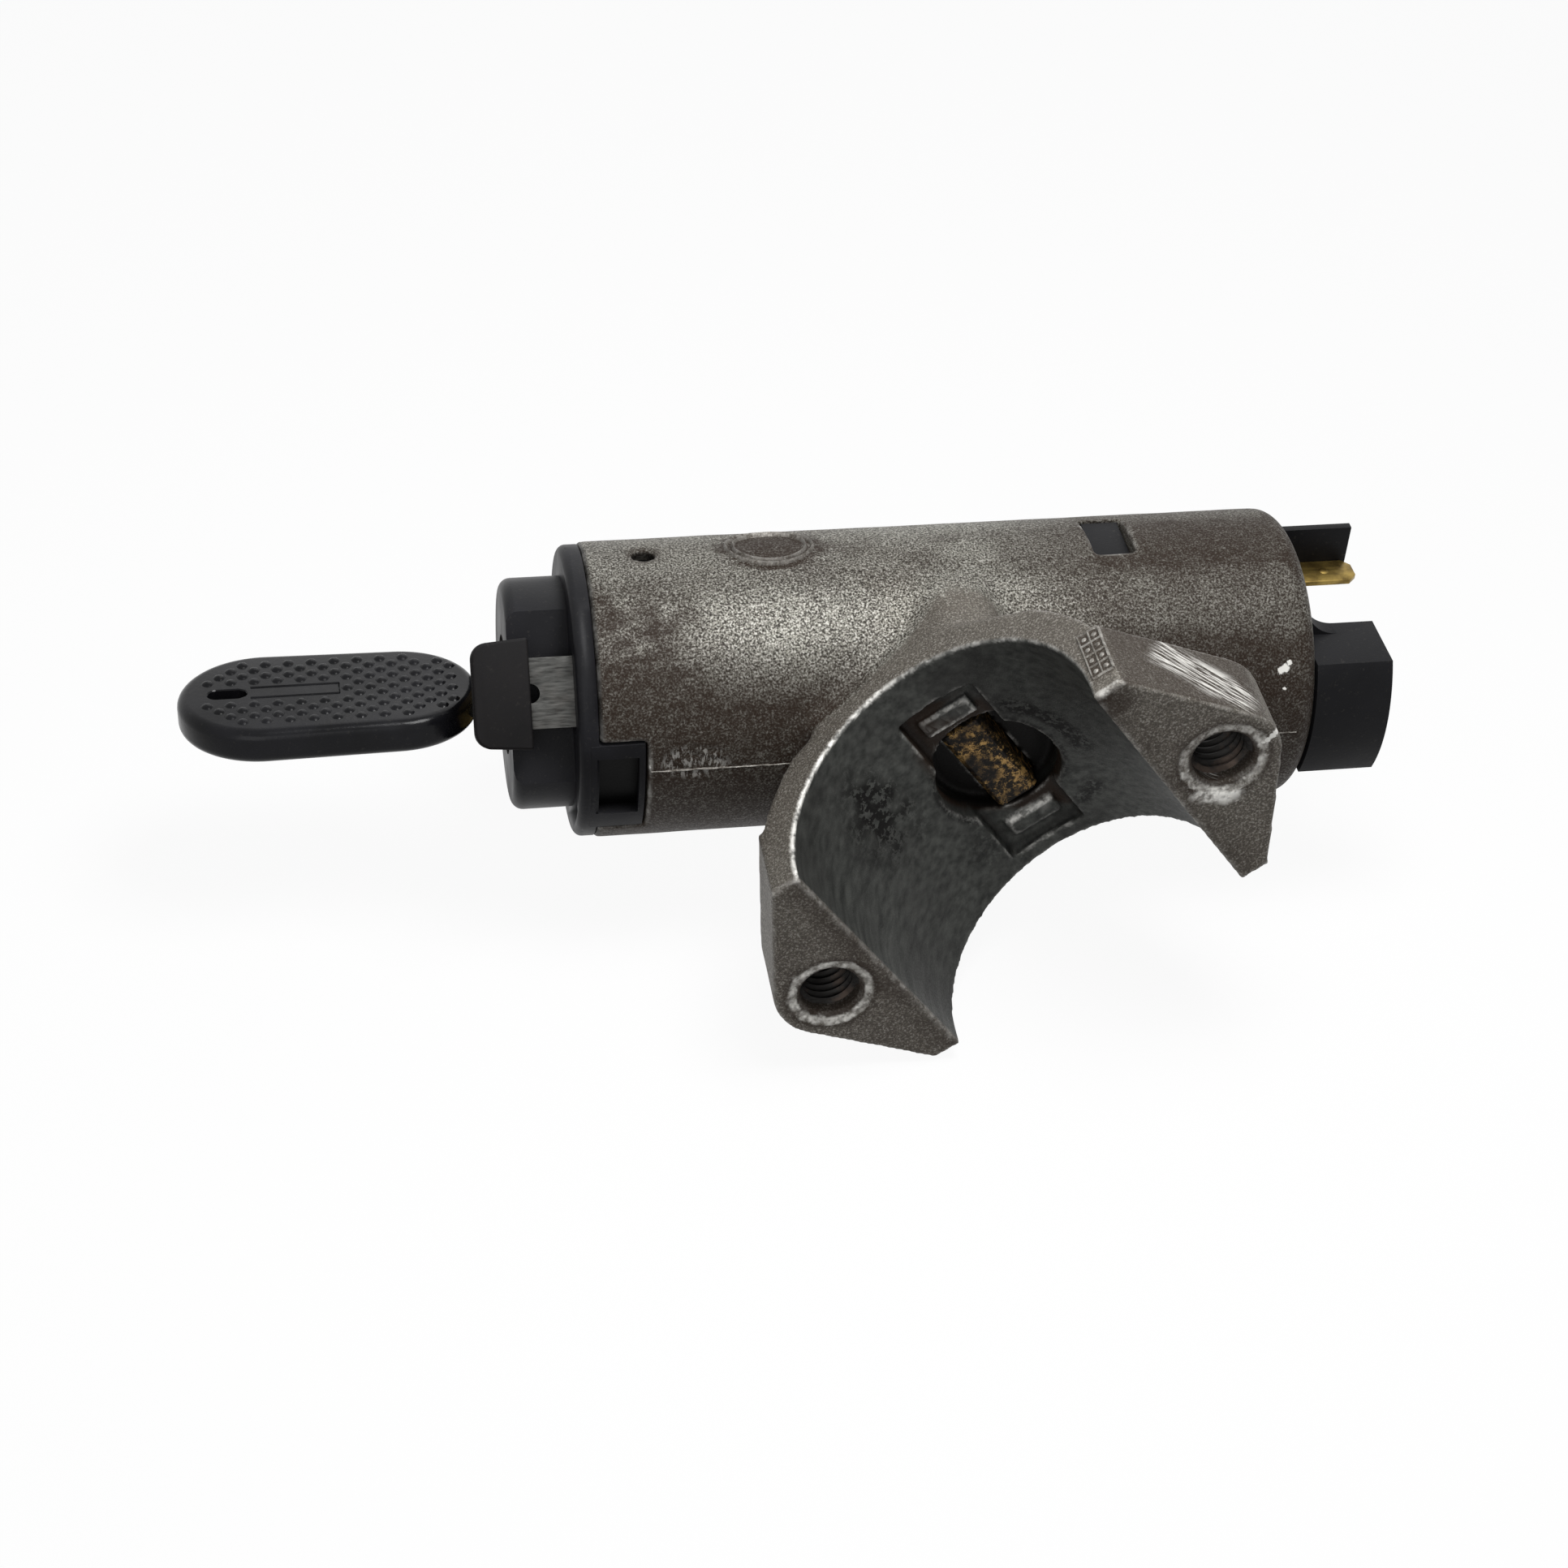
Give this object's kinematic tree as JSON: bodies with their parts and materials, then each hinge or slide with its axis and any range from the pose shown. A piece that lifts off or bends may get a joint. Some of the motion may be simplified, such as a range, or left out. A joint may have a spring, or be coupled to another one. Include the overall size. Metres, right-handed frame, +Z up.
{
  "type": "ignition switch",
  "caption": "Steering-column ignition switch: cast barrel with a clamp saddle, key lock, release button, steering bolt and rotary contacts with blade terminals.",
  "frame": {"origin": "on the steering-column axis at the middle of the saddle", "axes": "+X along the barrel from the key to the contacts, -Y out of the open side of the saddle, +Z up"},
  "size_m": [0.1653, 0.0645, 0.0632],
  "materials": {
    "cast_zinc": "sand-grained zinc casting, grey-brown, worn bright at edges",
    "cast_zinc_inner": "as-cast zinc",
    "black_cap": "satin black moulding",
    "black_switch": "matte black moulding",
    "black_bow": "satin black moulding",
    "brown_black_button": "matte brown-black moulding",
    "pale_plastic": "natural moulding",
    "steel": "plain steel",
    "spring_steel": "drawn wire",
    "lever_steel": "blanked steel strip, dull",
    "key_steel": "nickelled key steel",
    "rusty_bolt": "steel with a rust and brass-coloured film",
    "brass": "dull brass"
  },
  "bodies": {
    "housing": {"housing": "cast_zinc", "front_cap": "black_cap", "cylinder_sleeve": "cast_zinc_inner", "sleeve_pin": "steel", "lever_pin": "steel", "lever_spring": "spring_steel", "spring_cover": "cast_zinc", "bolt_springs": "spring_steel", "switch_body": "black_switch", "terminal_blades": "brass", "fixed_contacts": "brass", "detent_ball": "steel", "detent_spring": "spring_steel"},
    "rotor": {"lock_plug": "brass", "lock_wafers": "brass", "wafer_springs": "spring_steel", "plug_clip": "steel", "drive_shaft": "cast_zinc_inner", "contact_rotor": "pale_plastic", "contact_bridge": "brass", "contact_spring": "spring_steel"},
    "key": {"key_blade": "key_steel", "key_bow": "black_bow"},
    "lever": {"release_lever": "lever_steel", "release_button": "brown_black_button"},
    "bolt": {"lock_bolt": "rusty_bolt", "bolt_carrier": "cast_zinc_inner", "bolt_pin": "steel"}
  },
  "joints": [
    {"name": "key_turn", "type": "hinge", "parent": "housing", "child": "rotor", "pos_m": [0, 0.0425, 0], "axis": [1, 0, 0], "range_deg": [0, 105]},
    {"name": "key_pull", "type": "slide", "parent": "rotor", "child": "key", "axis": [-1, 0, 0], "range_m": [0, 0.036]},
    {"name": "bolt_throw", "type": "slide", "parent": "housing", "child": "bolt", "axis": [0, -1, 0], "range_m": [0, 0.007]},
    {"name": "release_press", "type": "hinge", "parent": "housing", "child": "lever", "pos_m": [-0.0448, 0.03249, 0.00782], "axis": [0, -0.6157, -0.788], "range_deg": [0, 3.2]}
  ],
  "couplings": [
    {"joint": "bolt_throw", "follows": "key_pull", "ratio": 0.19444}
  ]
}
